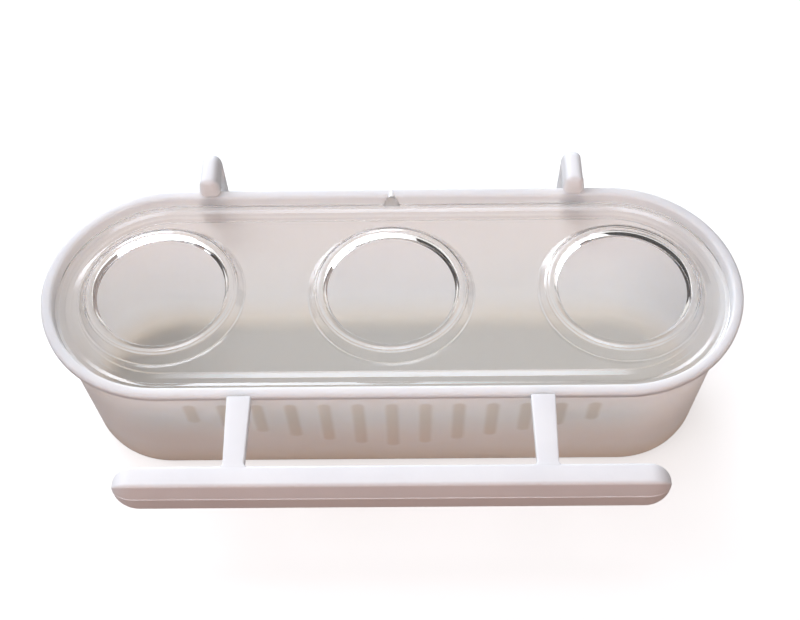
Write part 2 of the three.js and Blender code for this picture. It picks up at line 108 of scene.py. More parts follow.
# Cover
COVER_THICKNESS = 1.2
BEAD_WIDTH = 3.0
BEAD_RISE = 0.5
BEAD_SLOPE = 1.2
BEAD_ROUND = 0.4
BEAD_SLOPE_ROUND = 1.0
COVER_EDGE_ROUND = 0.25
FLANGE_WIDTH = 4.5
SLOPE_RUN = 1.8
SLOPE_FOOT_ROUND = 1.0
SLOPE_BROW_ROUND = 0.5
PANEL_RISE = 0.5
HOLE_COUNT = 3
HOLE_PITCH = 66.0
HOLE_RADIUS = 18.2
HOLE_FUNNEL = 1.4
FUNNEL_ROUND = 0.35
HOLE_EDGE_ROUND = 0.2
COLLAR_LAND = 1.0
COLLAR_LAND_ROUND = 0.8
STEP_SLOPE = 0.7
STEP_LAND = 0.3
STEP_RISE = 0.45
STEP_ROUND = 0.5
RING_LIFT = 2.1
RING_WALL = 1.0
RING_DRAFT = 1.8
RING_FOOT_ROUND = 0.2
RING_SHOULDER_ROUND = 0.9
RING_INNER_ROUND = 0.6
RING_INNER_FOOT_ROUND = 0.8
FACET_SUPPORT = 0.12
RING_SUPPORT = 0.15
COVER_END_STEPS = 72
HOLE_STEPS = 120
TAB_HALF_WIDTH = 2.4
TAB_TIP_HALF_WIDTH = 0.9
TAB_THICKNESS = 0.6
TAB_ROOT = 0.9
TAB_ROUND = 0.5
TAB_SINK = 0.1
TAB_TAPER = 0.6
TAB_THINNING = 0.9

# Perch
PERCH_DEPTH = 7.2
PERCH_RIDGE = 0.6
PERCH_CREST = 0.4
PERCH_SEAM = 0.15
PERCH_SEAM_ROUND = 0.1
PERCH_ROUND = 1.0
PERCH_LOW_ROUND = 1.6
PERCH_NOSE = 6.5
PERCH_NOSE_ANGLE = math.radians(86)
ARM_HALF_SPACING = 41.0
ARM_ROOT_HALF_WIDTH = 3.3
ARM_TIP_HALF_WIDTH = 2.85
ARM_THICKNESS = 3.0
ARM_FILLET = 0.5
ARM_ROUND = 0.45
ARM_ROOT_GAP = 0.12
ARM_ROOT_CHAMFER = 0.2
ARM_SINK = 0.3
ARM_SINK_START = 0.2
PEG_HALF_WIDTH = 1.2
PEG_DEPTH = 2.0
PEG_LENGTH = 5.0
PEG_ROUND = 0.3
PEG_LEAD_IN = ((0.0, 0.45), (0.25, 0.2), (0.9, 0.0))
SOCKET_WALL = 0.9
SOCKET_HEIGHT = 6.0
SOCKET_TOE = 0.9
SOCKET_TOE_EASE = 0.1
SOCKET_TOE_EASE_RISE = 0.5
SOCKET_LIP = 0.25
SLEEVE_CHAMFER = 0.3
SLEEVE_ROUND = 0.5
SLEEVE_HOLE_ROUND = 0.2
PEG_GAP = 0.3
SEAT_GAP = 0.1

# Hooks
HOOK_HALF_SPACING = 54.5
HOOK_BRIDGE = 5.2
HOOK_LEG = 3.0
HOOK_BACK_ROUND = 4.5
HOOK_FRONT_ROUND = 1.5
HOOK_INNER_ROUND = 1.0
HOOK_TOP_HALF_WIDTH = 2.5
HOOK_DRAFT = 0.11
HOOK_DRAFT_HEIGHT = 6.5
HOOK_DROP = 16.0
HOOK_EDGE_ROUND = 2.0
HOOK_TIP_EDGE_ROUND = 0.9
HOOK_GAP_EDGE_ROUND = 0.4
STEM_HALF_WIDTH = 2.2
STEM_THICKNESS = 1.6
STEM_ROUND = 0.15
BARB_RISE = 0.7
BARB_HEIGHT = 2.2
KEEPER_HEIGHT = 9.0
KEEPER_WALL = 1.3
KEEPER_TOP_DROP = 2.8
KEEPER_TOE = 0.4

# Left and right, with the sign of x
SIDES = ((-1, "left"), (1, "right"))

# Surfaces
GRAIN_DEPTH = 0.1
# Painted shade: heights in mm between which the milky colour turns darker and warmer towards the bottom
FLOOR_SHADE_START = 18.0
FLOOR_SHADE_END = 3.0
# Painted shade: how strongly the outer front wall is painted darker where a rib stands behind it
RIB_SHADE_STRENGTH = 0.6

# Levels and outlines that follow
LEDGE_Z = RIM_TOP - LEDGE_DEPTH
SHOULDER_Z = LEDGE_Z - WALL
RIM_UNDER_Z = RIM_TOP - RIM_DROP
COVER_SEAT_Z = COVER_LOW.z
FLANGE_TOP_Z = COVER_SEAT_Z + COVER_THICKNESS
PANEL_UNDER_Z = COVER_SEAT_Z + PANEL_RISE
PANEL_TOP_Z = PANEL_UNDER_Z + COVER_THICKNESS
RING_UNDER_Z = PANEL_UNDER_Z + RING_LIFT
RING_FOOT_Z = PANEL_TOP_Z + RING_LIFT
RING_TOP_Z = RING_FOOT_Z + 2 * STEP_RISE
ARM_UNDER_Z = RIM_TOP - ARM_THICKNESS
PEG_TIP_Z = ARM_UNDER_Z - PEG_LENGTH
HOOK_FOOT_Z = RIM_TOP + SEAT_GAP
HOOK_TIP_Z = RIM_TOP - HOOK_DROP


# Outlines

class Outline:
    """A stadium's half length and half width at one height."""

    def __init__(self, half_length, half_width, z):
        self.half_length = half_length
        self.half_width = half_width
        self.z = z

    def inset(self, distance, z):
        return Outline(self.half_length - distance, self.half_width - distance, z)

    def towards(self, other, share):
        return Outline(
            self.half_length + (other.half_length - self.half_length) * share,
            self.half_width + (other.half_width - self.half_width) * share,
            self.z + (other.z - self.z) * share,
        )

    def gap(self, other):
        return math.hypot(other.half_width - self.half_width, other.z - self.z)


def rounded(corners, steps=5):
    """Outlines along a section whose corners are (outline, radius). A corner with radius 0 stays.

    A rounding takes up at most ROUND_REACH of the stretch on either side of its corner.
    """
    path = []
    for index, (corner, radius) in enumerate(corners):
        if radius == 0:
            path.append(corner)
            continue
        before = corners[index - 1][0]
        after = corners[(index + 1) % len(corners)][0]
        back, ahead = corner.gap(before), corner.gap(after)
        cosine = (
            (before.half_width - corner.half_width) * (after.half_width - corner.half_width)
            + (before.z - corner.z) * (after.z - corner.z)
        ) / (back * ahead)
        half_angle = math.acos(max(-1.0, min(1.0, cosine))) / 2
        reach = min(radius / math.tan(half_angle), ROUND_REACH * back, ROUND_REACH * ahead)
        start = corner.towards(before, reach / back)
        end = corner.towards(after, reach / ahead)
        pull = math.sin(half_angle)
        for step in range(steps + 1):
            t = step / steps
            shares = ((1 - t) ** 2, 2 * t * (1 - t) * pull, t ** 2)
            total = sum(shares)
            path.append(Outline(
                *(
                    sum(share * value for share, value in zip(shares, values)) / total
                    for values in (
                        (start.half_length, corner.half_length, end.half_length),
                        (start.half_width, corner.half_width, end.half_width),
                        (start.z, corner.z, end.z),
                    )
                )
            ))
    return path


def with_rows(path, low, high, spacing):
    """The path with extra outlines between low and high, where one straight stretch spans both."""
    rows = []
    for outline, after in zip(path, path[1:]):
        rows.append(outline)
        ends = sorted((outline.z, after.z))
        if ends[0] < low and ends[1] > high:
            count = int((high - low) / spacing)
            heights = [low + (high - low) * i / count for i in range(count + 1)]
            if outline.z > after.z:
                heights.reverse()
            rows += [outline.towards(after, (z - outline.z) / (after.z - outline.z)) for z in heights]
    rows.append(path[-1])
    return rows


def stadium(outline, end_steps, front_xs=()):
    """Points of a stadium, counter-clockwise seen from above, with extra points along its front."""
    centre = outline.half_length - outline.half_width
    points = []
    for end, facing in ((1, 0.0), (-1, math.pi)):
        for step in range(end_steps + 1):
            angle = facing + math.pi * (step / end_steps - 0.5)
            points.append(Vector((
                end * centre + outline.half_width * math.cos(angle),
                outline.half_width * math.sin(angle),
                outline.z,
            )))
    points += [Vector((x, -outline.half_width, outline.z)) for x in sorted(front_xs)]
    return points


def arc(centre, radius, start, end, steps=7):
    """Points on a circle from one angle in degrees to another."""
    return [
        (
            centre[0] + radius * math.cos(math.radians(start + (end - start) * i / steps)),
            centre[1] + radius * math.sin(math.radians(start + (end - start) * i / steps)),
        )
        for i in range(steps + 1)
    ]


def rounded_rectangle(half_x, half_y, radius, steps=4):
    """Points of a rectangle with round corners, counter-clockwise, about the origin."""
    points = []
    for quarter, (side_x, side_y) in enumerate(((1, 1), (-1, 1), (-1, -1), (1, -1))):
        for step in range(steps + 1):
            angle = math.pi / 2 * (quarter + step / steps)
            points.append((
                side_x * (half_x - radius) + radius * math.cos(angle),
                side_y * (half_y - radius) + radius * math.sin(angle),
            ))
    return points


# Meshes

def add_loops(bm, loops, closed=False):
    """Skins a row of point loops with quads and returns their vertices. closed joins last to first."""
    rows = [[bm.verts.new(point) for point in loop] for loop in loops]
    pairs = list(zip(rows, rows[1:]))
    if closed:
        pairs.append((rows[-1], rows[0]))
    for low, high in pairs:
        for index in range(len(low)):
            after = (index + 1) % len(low)
            bm.faces.new((low[index], low[after], high[after], high[index]))
    return rows


def capped(loops):
    """A new bmesh skinned over a row of point loops, with both ends closed."""
    bm = bmesh.new()
    rows = add_loops(bm, loops)
    bm.faces.new(rows[0][::-1])
    bm.faces.new(rows[-1])
    return bm


def piece(name, bm, material, body, sharp=SHARP_ANGLE):
    """Turns a bmesh in millimetres into an object that rides on a body."""
    bmesh.ops.remove_doubles(bm, verts=bm.verts, dist=WELD_DISTANCE)
    bmesh.ops.recalc_face_normals(bm, faces=bm.faces)
    mesh = bpy.data.meshes.new(name)
    bm.to_mesh(mesh)
    bm.free()
    mesh.transform(Matrix.Scale(MM, 4))
    mesh.polygons.foreach_set("use_smooth", [True] * len(mesh.polygons))
    mesh.set_sharp_from_angle(angle=sharp)
    mesh.materials.append(material)
    obj = bpy.data.objects.new(name, mesh)
    bpy.context.scene.collection.objects.link(obj)
    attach(obj, body)
    return obj


# Materials

def linear(hex_colour):
    """An sRGB hex colour as linear red, green, blue and alpha 1."""
    channels = []
    for start in (1, 3, 5):
        value = int(hex_colour[start:start + 2], 16) / 255
        channels.append(value / 12.92 if value <= 0.04045 else ((value + 0.055) / 1.055) ** 2.4)
    return (*channels, 1.0)


def add(tree, kind, settings=None, links=None):
    """Adds a node. Settings are its properties or inputs, and links go from a socket to an input.

    Inputs have their name or number. The colour Mix has its factor on 0 and its colours on 6 and 7.
    """
    node = tree.nodes.new(kind)
    for name, value in (settings or {}).items():
        if isinstance(name, str) and hasattr(node, name):
            setattr(node, name, value)
        else:
            node.inputs[name].default_value = value
    for name, socket in (links or {}).items():
        tree.links.new(socket, node.inputs[name])
    return node


def scale_for(size):
    """Scale of a pattern whose marks lie this many millimetres apart."""
    return 1 / (size * MM)


def new_material(name):
    """A material and its node tree, which is empty."""
    material = bpy.data.materials.new(name)
    material.use_nodes = True
    material.node_tree.nodes.clear()
    return material, material.node_tree


def set_ramp(node, stops):
    """Gives a colour ramp its stops, as (position, hex colour)."""
    elements = node.color_ramp.elements
    while len(elements) > len(stops):
        elements.remove(elements[-1])
    while len(elements) < len(stops):
        elements.new(1.0)
    for element, (position, colour) in zip(elements, stops):
        element.position = position
        element.color = linear(colour)


def milky_polypropylene():
    """Natural polypropylene, injection moulded: cloudy and soft, so light bleeds through the walls.

    Flow marks of the moulding make its tone drift a little over some 22 mm. The spark-eroded skin has
    grains of about 0.05 mm, which are too fine to show, so they are drawn 1.1 mm apart.
    Towards the bottom the colour is painted darker and warmer, as painted shade on the floor and the
    low walls. The outer front wall is painted darker where a rib stands behind it, as painted shade.
    """
    material, tree = new_material("milky_polypropylene_moulded")
    place = add(tree, "ShaderNodeTexCoord").outputs["Object"]
    flow = add(tree, "ShaderNodeTexNoise", {"Scale": scale_for(22), "Detail": 3.0}, {"Vector": place})
    tone = add(tree, "ShaderNodeValToRGB", links={"Fac": flow.outputs["Fac"]})
    set_ramp(tone, ((0.3, "#F9F7F4"), (0.7, "#FDFBF8")))
    height = add(tree, "ShaderNodeSeparateXYZ", links={0: place})
    # Painted shade: from 18 mm down to 3 mm above the bottom the colour turns darker and warmer
    # (#F0E2D5)
    floor_shade = add(
        tree, "ShaderNodeMapRange",
        {
            "interpolation_type": "SMOOTHSTEP", "From Min": FLOOR_SHADE_START * MM, "From Max": FLOOR_SHADE_END * MM,
            "To Min": 0.0, "To Max": 1.0,
        },
        {"Value": height.outputs["Z"]},
    )
    shaded_low_tone = add(
        tree, "ShaderNodeMix", {"data_type": "RGBA", 7: linear("#F0E2D5")},
        {0: floor_shade.outputs["Result"], 6: tone.outputs["Color"]},
    )
    # Painted shade: the outer front wall is drawn darker, towards #CFC4BA, where a rib stands behind it
    rib = add(tree, "ShaderNodeAttribute", {"attribute_name": "painted_rib_shade"})
    rib_shade_amount = add(tree, "ShaderNodeMath", {"operation": "MULTIPLY", 1: RIB_SHADE_STRENGTH}, {0: rib.outputs["Fac"]})
    rib_shaded_tone = add(
        tree, "ShaderNodeMix", {"data_type": "RGBA", 7: linear("#CFC4BA")},
        {0: rib_shade_amount.outputs[0], 6: shaded_low_tone.outputs[2]},
    )
    skin = add(tree, "ShaderNodeTexNoise", {"Scale": scale_for(1.1), "Detail": 2.0}, {"Vector": place})
    bump = add(
        tree, "ShaderNodeBump", {"Strength": 0.12, "Distance": GRAIN_DEPTH * MM},
        {"Height": skin.outputs["Fac"]},
    )
    shader = add(
        tree, "ShaderNodeBsdfPrincipled",
        {
            "Roughness": 0.42, "IOR": 1.49, "Specular IOR Level": 0.3, "Subsurface Weight": 1.0,
            "Subsurface Radius": (1.0, 0.9, 0.8), "Subsurface Scale": 9 * MM,
        },
        {"Base Color": rib_shaded_tone.outputs[2], "Normal": bump.outputs["Normal"]},
    )
    add(tree, "ShaderNodeOutputMaterial", links={"Surface": shader.outputs["BSDF"]})
    return material


def clear_polystyrene(name, smoothest, roughest):
    """General-purpose polystyrene, injection moulded: clear, with sharp mirror lines on its edges.

    Handling leaves a faint haze in patches of about 6 mm, where reflections are a little softer.
    """
    material, tree = new_material(name)
    place = add(tree, "ShaderNodeTexCoord").outputs["Object"]
    haze = add(tree, "ShaderNodeTexNoise", {"Scale": scale_for(6.25), "Detail": 4.0}, {"Vector": place})
    rough = add(
        tree, "ShaderNodeMapRange",
        {"From Min": 0.35, "From Max": 0.75, "To Min": smoothest, "To Max": roughest},
        {"Value": haze.outputs["Fac"]},
    )
    glass = add(
        tree, "ShaderNodeBsdfPrincipled",
        {"Base Color": linear("#FBF9F7"), "IOR": 1.59, "Transmission Weight": 1.0},
        {"Roughness": rough.outputs["Result"]},
    )
    clear = add(tree, "ShaderNodeBsdfTransparent", {"Color": linear("#FAFBFB")})
    ray = add(tree, "ShaderNodeLightPath")
    lit = add(
        tree, "ShaderNodeMath", {"operation": "MAXIMUM"},
        {0: ray.outputs["Is Shadow Ray"], 1: ray.outputs["Is Diffuse Ray"]},
    )
    mixed = add(
        tree, "ShaderNodeMixShader", None,
        {0: lit.outputs[0], 1: glass.outputs["BSDF"], 2: clear.outputs["BSDF"]},
    )
    add(tree, "ShaderNodeOutputMaterial", links={"Surface": mixed.outputs["Shader"]})
    return material


def white_polypropylene():
    """Polypropylene filled with white pigment, injection moulded: opaque, with a satin skin.

    The pigment clouds over some 14 mm. The skin's fine grain is drawn 0.9 mm apart, so that it shows.
    """
    material, tree = new_material("white_polypropylene_moulded")
    place = add(tree, "ShaderNodeTexCoord").outputs["Object"]
    cloud = add(tree, "ShaderNodeTexNoise", {"Scale": scale_for(14), "Detail": 3.0}, {"Vector": place})
    tone = add(tree, "ShaderNodeValToRGB", links={"Fac": cloud.outputs["Fac"]})
    set_ramp(tone, ((0.3, "#EFF0F2"), (0.7, "#F5F6F8")))
    skin = add(tree, "ShaderNodeTexNoise", {"Scale": scale_for(0.9), "Detail": 2.0}, {"Vector": place})
    bump = add(
        tree, "ShaderNodeBump", {"Strength": 0.1, "Distance": GRAIN_DEPTH * MM},
        {"Height": skin.outputs["Fac"]},
    )
    shader = add(
        tree, "ShaderNodeBsdfPrincipled",
        {
            "Roughness": 0.5, "IOR": 1.49, "Subsurface Weight": 0.25,
            "Subsurface Radius": (1.0, 0.95, 0.9), "Subsurface Scale": 1 * MM,
        },
        {"Base Color": tone.outputs["Color"], "Normal": bump.outputs["Normal"]},
    )
    add(tree, "ShaderNodeOutputMaterial", links={"Surface": shader.outputs["BSDF"]})
    return material


MILKY = milky_polypropylene()
CLEAR = clear_polystyrene("clear_polystyrene_polished", 0.015, 0.06)
SATIN = clear_polystyrene("clear_polystyrene_satin", 0.4, 0.5)
WHITE = white_polypropylene()


# Trough

RIM = Outline(RIM_HALF_LENGTH, RIM_HALF_WIDTH, RIM_TOP)
BAND = RIM.inset(RIM_OVERHANG, RIM_UNDER_Z)
RECESS = BAND.inset(WALL, LEDGE_Z)
BODY_TOP = BAND.inset(LEDGE_WIDTH, SHOULDER_Z)


def body_outline(z, inwards=0.0):
    """Outline of the leaning wall at one height, drawn in by some of its thickness."""
    drop = SHOULDER_Z - z
    return Outline(
        BODY_TOP.half_length - drop * math.tan(END_LEAN) - inwards,
        BODY_TOP.half_width - drop * math.tan(SIDE_LEAN) - inwards,
        z,
    )


def rib_foot(place):
    """Height of a rib's lower end. place is 0 for the middle rib and 1 for the outermost."""
    return RIM_TOP - RIB_MIDDLE_DEPTH + (RIB_MIDDLE_DEPTH - RIB_OUTER_DEPTH) * place ** RIB_FAN_POWER


def rib_centres():
    """Each rib's x and its place, from 0 in the middle to 1 at the outermost."""
    outermost = (RIB_COUNT - 1) / 2
    return [((i - outermost) * RIB_PITCH, abs(i - outermost) / outermost) for i in range(RIB_COUNT)]


def rib_share(x, z, reach, edge):
    """1 on a rib of the front wall, fading to 0 over the last edge mm of reach from its middle line."""
    for centre, place in rib_centres():
        if abs(x - centre) <= reach:
            low = rib_foot(place) + RIB_HALF_WIDTH
            high = RIM_TOP - RIB_TOP_DEPTH - RIB_HALF_WIDTH
            away = math.hypot(x - centre, z - max(low, min(high, z)))
            share = max(0.0, min(1.0, (reach - away) / edge))
            return share * share * (3 - 2 * share)
    return 0.0


def trough_shell():
    """The trough from its underside over the rim to its inner floor, with the ribs raised inside.

    RIB_COLUMNS are the places of extra points on both sides of a rib's middle, in half widths.
    """
    inner_floor = body_outline(FLOOR, WALL)
    path = rounded([
        (body_outline(0).inset(BOTTOM_ROUND + BOTTOM_FLAT, 0), 0),
        (body_outline(0), BOTTOM_ROUND),
        (BODY_TOP, SMALL_ROUND),
        (BAND.inset(0, SHOULDER_Z + LEDGE_WIDTH), SMALL_ROUND),
        (BAND, SMALL_ROUND),
        (RIM.inset(0, RIM_UNDER_Z), RIM_FOOT_ROUND),
        (RIM, RIM_ROUND),
        (RECESS.inset(0, RIM_TOP), RIM_ROUND),
        (RECESS, SMALL_ROUND),
        (BODY_TOP.inset(WALL, LEDGE_Z), SMALL_ROUND),
        (inner_floor, BOTTOM_ROUND - WALL),
        (inner_floor.inset(BOTTOM_ROUND + BOTTOM_FLAT, FLOOR), 0),
    ])
    path = with_rows(
        path, rib_foot(0) - RIB_ROW_MARGIN, RIM_TOP - RIB_TOP_DEPTH + RIB_ROW_MARGIN, RIB_ROW
    )
    rim_top = max(range(len(path)), key=lambda index: path[index].z)
    front_xs = {
        centre + side * share * RIB_HALF_WIDTH
        for centre, _ in rib_centres()
        for share in RIB_COLUMNS
        for side in (-1, 1)
    }
    loops = []
    for index, level in enumerate(path):
        loop = stadium(level, TROUGH_END_STEPS, front_xs)
        if index > rim_top:
            for point in loop:
                if point.y < 0:
                    point.y += RIB_RISE * rib_share(point.x, point.z, RIB_HALF_WIDTH, RIB_EDGE)
        loops.append(loop)
    shell = piece("trough_shell", capped(loops), MILKY, "trough_body")
    paint_rib_shade(shell.data)
    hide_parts("trough")


def paint_rib_shade(mesh):
    """Paints shade on the outer face of the front wall, where a rib behind it adds to the wall's
    thickness.
    """
    rib_shade_values = mesh.attributes.new("painted_rib_shade", "FLOAT", "POINT")
    for vertex in mesh.vertices:
        x, y, z = vertex.co / MM
        if y < 0.1 * WALL - body_outline(z).half_width:
            rib_shade_values.data[vertex.index].value = rib_share(x, z, RIB_SHADE_REACH, RIB_SHADE_EDGE)


ARM_ROOT_Y = -(RIM_HALF_WIDTH + ARM_ROOT_GAP)
PERCH_BACK_Y = PERCH_LOW.y + PERCH_DEPTH
PEG_BACK_Y = -(RIM_HALF_WIDTH + PEG_GAP) - SOCKET_WALL
STEM_FRONT_Y = BAND.half_width + PEG_GAP + SEAT_GAP
KEEPER_BACK_Y = TROUGH_HIGH.y


def sleeve(name, x, outside, hole):
    """A tube about x. outside rises in sections of z, half x, low y and high y, and hole has no z."""
    inside = [(section[0], *hole) for section in (outside[-1], outside[0])]
    loops = []
    for sections, corner in ((outside, SLEEVE_ROUND), (inside, SLEEVE_HOLE_ROUND)):
        for z, half_x, low_y, high_y in sections:
            middle = (low_y + high_y) / 2
            loops.append([
                Vector((x + px, py + middle, z))
                for px, py in rounded_rectangle(half_x, (high_y - low_y) / 2, corner)
            ])
    bm = bmesh.new()
    add_loops(bm, loops, closed=True)
    piece(name, bm, MILKY, "trough_body", sharp=SLEEVE_SHARP_ANGLE)


def peg_socket(name, x):
    """Sleeve under the front rim that holds one arm's peg."""
    top = ARM_UNDER_Z - SEAT_GAP
    low = top - SOCKET_HEIGHT
    front = PEG_BACK_Y - PEG_DEPTH - PEG_GAP - SOCKET_WALL
    half = PEG_HALF_WIDTH + PEG_GAP + SOCKET_WALL
    wall_low = -body_outline(low).half_width + WALL / 2
    wall_high = -RECESS.half_width - WALL / 2
    sections = (
        (low, half - SLEEVE_CHAMFER, front + SOCKET_TOE, wall_low),
        (low + SOCKET_TOE, half, front + SOCKET_TOE_EASE, wall_low),
        (low + SOCKET_TOE + SOCKET_TOE_EASE_RISE, half, front, wall_low),
        (top - SLEEVE_CHAMFER, half, front, wall_high),
        (top, half - SOCKET_LIP, front + SOCKET_LIP, wall_high),
    )
    sleeve(name, x, sections, (
        PEG_HALF_WIDTH + PEG_GAP, PEG_BACK_Y - PEG_DEPTH - PEG_GAP, PEG_BACK_Y + PEG_GAP
    ))


def stem_keeper(name, x):
    """Sleeve behind the back rim that holds one hook's stem."""
    low = RIM_TOP - KEEPER_HEIGHT
    half = STEM_HALF_WIDTH + PEG_GAP + KEEPER_WALL
    root = BAND.half_width - WALL / 2
    top = RIM_TOP - KEEPER_TOP_DROP
    sections = (
        (low, half - SLEEVE_CHAMFER, root, KEEPER_BACK_Y - SLEEVE_CHAMFER),
        (low + KEEPER_TOE, half, root, KEEPER_BACK_Y),
        (top - SLEEVE_CHAMFER, half, root, KEEPER_BACK_Y),
        (top, half - SLEEVE_CHAMFER, root, KEEPER_BACK_Y - SLEEVE_CHAMFER),
    )
    sleeve(name, x, sections, (
        STEM_HALF_WIDTH + PEG_GAP, STEM_FRONT_Y - PEG_GAP, STEM_FRONT_Y + STEM_THICKNESS + PEG_GAP
    ))


# Cover

def cover_border():
    """Sections of the cover from the panel's underside round its edge to the panel's top.

    The first and the last lie a little way onto the flat panel, so that its shading stays even.
    """
    edge = RECESS.inset(PEG_GAP, COVER_SEAT_Z)
    foot = edge.inset(FLANGE_WIDTH, COVER_SEAT_Z)
    brow = foot.inset(SLOPE_RUN, PANEL_UNDER_Z)
    bead_top = FLANGE_TOP_Z + BEAD_RISE
    return rounded([
        (brow.inset(FACET_SUPPORT, PANEL_UNDER_Z), 0),
        (brow, SLOPE_BROW_ROUND),
        (foot, SLOPE_FOOT_ROUND),
        (edge, COVER_EDGE_ROUND),
        (edge.inset(0, bead_top), BEAD_ROUND),
        (edge.inset(BEAD_WIDTH - BEAD_SLOPE, bead_top), BEAD_SLOPE_ROUND),
        (edge.inset(BEAD_WIDTH, FLANGE_TOP_Z), BEAD_SLOPE_ROUND),
        (foot.inset(0, FLANGE_TOP_Z), SLOPE_FOOT_ROUND),
        (brow.inset(0, PANEL_TOP_Z), SLOPE_BROW_ROUND),
        (brow.inset(FACET_SUPPORT, PANEL_TOP_Z), 0),
    ])


def collar_section():
    """Section of one raised ring: a wall, two sloped steps up to a flat, and a funnel down the hole."""
    funnel_top = HOLE_RADIUS + HOLE_FUNNEL
    upper_step = funnel_top + COLLAR_LAND
    lower_step = upper_step + STEP_SLOPE + STEP_LAND
    radius = lower_step + STEP_SLOPE
    foot = radius + RING_DRAFT
    inner = radius - RING_WALL

    def at(radius, z):
        return Outline(radius, radius, z)

    return rounded([
        (at(foot + RING_SUPPORT, PANEL_TOP_Z), 0),
        (at(foot, PANEL_TOP_Z), RING_FOOT_ROUND),
        (at(radius, RING_FOOT_Z), RING_SHOULDER_ROUND),
        (at(lower_step, RING_FOOT_Z + STEP_RISE), STEP_ROUND),
        (at(lower_step - STEP_LAND, RING_FOOT_Z + STEP_RISE), STEP_ROUND),
        (at(upper_step, RING_TOP_Z), COLLAR_LAND_ROUND),
        (at(funnel_top, RING_TOP_Z), FUNNEL_ROUND),
        (at(HOLE_RADIUS, RING_UNDER_Z), HOLE_EDGE_ROUND),
        (at(inner, RING_UNDER_Z), RING_INNER_ROUND),
        (at(inner + RING_DRAFT, PANEL_UNDER_Z), RING_INNER_FOOT_ROUND),
        (at(foot + RING_SUPPORT, PANEL_UNDER_Z), 0),
    ])


def fill_panel(bm, outer, holes):
    """Fills between the outer row of vertices and the holes' rows, all at one height."""
    rows = [outer, *holes]
    flat = [vert for row in rows for vert in row]
    for triangle in tessellate_polygon([[vert.co.copy() for vert in row] for row in rows]):
        bm.faces.new([flat[index] for index in triangle])


def clear_cover():
    """The cover in one skin: its border, its three rings, and the panel's two faces between them."""
    bm = bmesh.new()
    border = add_loops(bm, [stadium(level, COVER_END_STEPS) for level in cover_border()])
    collars = []
    angles = [2 * math.pi * step / HOLE_STEPS for step in range(HOLE_STEPS)]
    for index in range(HOLE_COUNT):
        x = (index - (HOLE_COUNT - 1) / 2) * HOLE_PITCH
        loops = [
            [
                Vector((
                    x + level.half_width * math.cos(angle), level.half_width * math.sin(angle), level.z
                ))
                for angle in angles
            ]
            for level in collar_section()
        ]
        collars.append(add_loops(bm, loops))
    fill_panel(bm, border[-1], [rows[0] for rows in collars])
    fill_panel(bm, border[0], [rows[-1] for rows in collars])
    cover = piece("clear_cover", bm, CLEAR, "cover_body")
    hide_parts("cover")


def pull_tab():
    """Fingertip tab at the middle of the cover's back edge, which laps over the rim."""
    back_y = RECESS.half_width - PEG_GAP
    root_y = back_y - TAB_ROOT
    tip_y = COVER_HIGH.y
    top = COVER_HIGH.z
    foot_z = FLANGE_TOP_Z + BEAD_RISE - TAB_SINK
    tip = TAB_THICKNESS / 2
    outline = [
        (root_y, foot_z),
        *arc((root_y + TAB_ROUND, top - TAB_ROUND), TAB_ROUND, 180, 90),
        *arc((tip_y - tip, top - tip), tip, 90, -90),
        (back_y, top - TAB_THICKNESS),
        (back_y, foot_z),
    ]
    columns = []
    for angle in range(-90, 91, 15):
        across = math.sin(math.radians(angle))
        thinned = TAB_THINNING * (1 - math.cos(math.radians(angle)))
        loop = []
        for y, z in outline:
            along = max(0.0, min(1.0, (y - root_y) / (tip_y - root_y)))
            half = TAB_HALF_WIDTH + (TAB_TIP_HALF_WIDTH - TAB_HALF_WIDTH) * along ** TAB_TAPER
            loop.append(Vector((across * half, y, z + (foot_z - z) * thinned)))
        columns.append(loop)
    piece("pull_tab", capped(columns), SATIN, "cover_body")


# Perch

def perch_section():
    """Section of the bar in Y and Z about its middle, with a seam on a low crest on both faces."""
    half_depth = PERCH_DEPTH / 2
    face = half_depth - PERCH_SEAM
    edge = half_depth - PERCH_RIDGE
    seam = PERCH_CREST - PERCH_SEAM
    half_height = (PERCH_HIGH.z - PERCH_LOW.z) / 2
    corners = rounded([
        (Outline(0, face, PERCH_CREST), PERCH_SEAM_ROUND),
        (Outline(0, edge, half_height), PERCH_ROUND),
        (Outline(0, -edge, half_height), PERCH_ROUND),
        (Outline(0, -face, PERCH_CREST), PERCH_SEAM_ROUND),
        (Outline(0, -half_depth, seam), PERCH_SEAM_ROUND),
        (Outline(0, -half_depth, -seam), PERCH_SEAM_ROUND),
        (Outline(0, -face, -PERCH_CREST), PERCH_SEAM_ROUND),
        (Outline(0, -edge, -half_height), PERCH_LOW_ROUND),
        (Outline(0, edge, -half_height), PERCH_LOW_ROUND),
        (Outline(0, face, -PERCH_CREST), PERCH_SEAM_ROUND),
        (Outline(0, half_depth, -seam), PERCH_SEAM_ROUND),
        (Outline(0, half_depth, seam), PERCH_SEAM_ROUND),
    ], steps=6)
    return [(corner.half_width, corner.z) for corner in corners]


def perch_bar():
    """Bar along X. Its section shrinks over the noses at both ends, as a quarter ellipse does."""
    half_length = PERCH_HIGH.x
    nose_steps = 14
    angles = [PERCH_NOSE_ANGLE * step / nose_steps for step in range(nose_steps + 1)]
    nose = [(half_length - PERCH_NOSE * (1 - math.sin(angle)), math.cos(angle)) for angle in angles]
    stations = [(-x, scale) for x, scale in reversed(nose)] + nose
    middle = Vector((0, PERCH_BACK_Y - PERCH_DEPTH / 2, (PERCH_LOW.z + PERCH_HIGH.z) / 2))
    section = perch_section()
    loops = [[middle + Vector((x, scale * y, scale * z)) for y, z in section] for x, scale in stations]
    bar = piece("perch_bar", capped(loops), WHITE, "perch_body")
    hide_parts("perch_frame")


